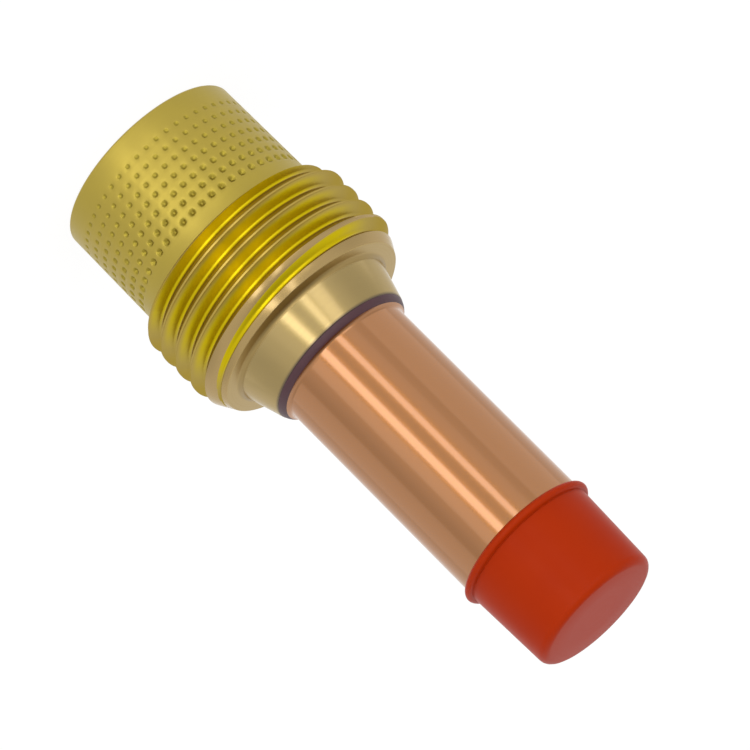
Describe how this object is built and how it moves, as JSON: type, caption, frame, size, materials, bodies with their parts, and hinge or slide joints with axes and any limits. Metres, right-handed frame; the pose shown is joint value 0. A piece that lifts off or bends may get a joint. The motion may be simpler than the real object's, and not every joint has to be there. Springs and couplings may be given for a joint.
{
  "type": "tig gas lens collet body",
  "caption": "Brass collet body for a large TIG torch: knurled head, outside thread, conical spigot, seal ring, copper gas lens sleeve and a red push-on cap.",
  "frame": {"origin": "centre of the rear face, where the part screws onto the torch", "axes": "+Z along the axis from the rear face to the protective cap, X and Y square to it"},
  "size_m": [0.02, 0.02, 0.0525],
  "materials": {
    "turned_brass": "satin",
    "inner_brass": "satin",
    "copper": "satin",
    "seal_rubber": "satin",
    "stainless": "satin",
    "screen_wire": "satin",
    "red_plastic": "satin"
  },
  "bodies": {
    "lens_body": {"collet_body": "turned_brass", "lens_sleeve": "copper", "nozzle_seal_ring": "seal_rubber", "collet_tube": "inner_brass", "distributor_plate": "inner_brass", "lens_screen_1": "screen_wire", "lens_screen_2": "screen_wire", "lens_screen_3": "screen_wire", "lens_screen_4": "screen_wire", "lens_screen_5": "screen_wire", "spacer_ring_1": "stainless", "spacer_ring_2": "stainless", "spacer_ring_3": "stainless", "spacer_ring_4": "stainless", "retaining_ring": "stainless"},
    "cap": {"protective_cap": "red_plastic"}
  },
  "joints": [
    {"name": "cap_pull", "type": "slide", "parent": "lens_body", "child": "cap", "axis": [0, 0, 1], "range_m": [0, 0.02]}
  ]
}
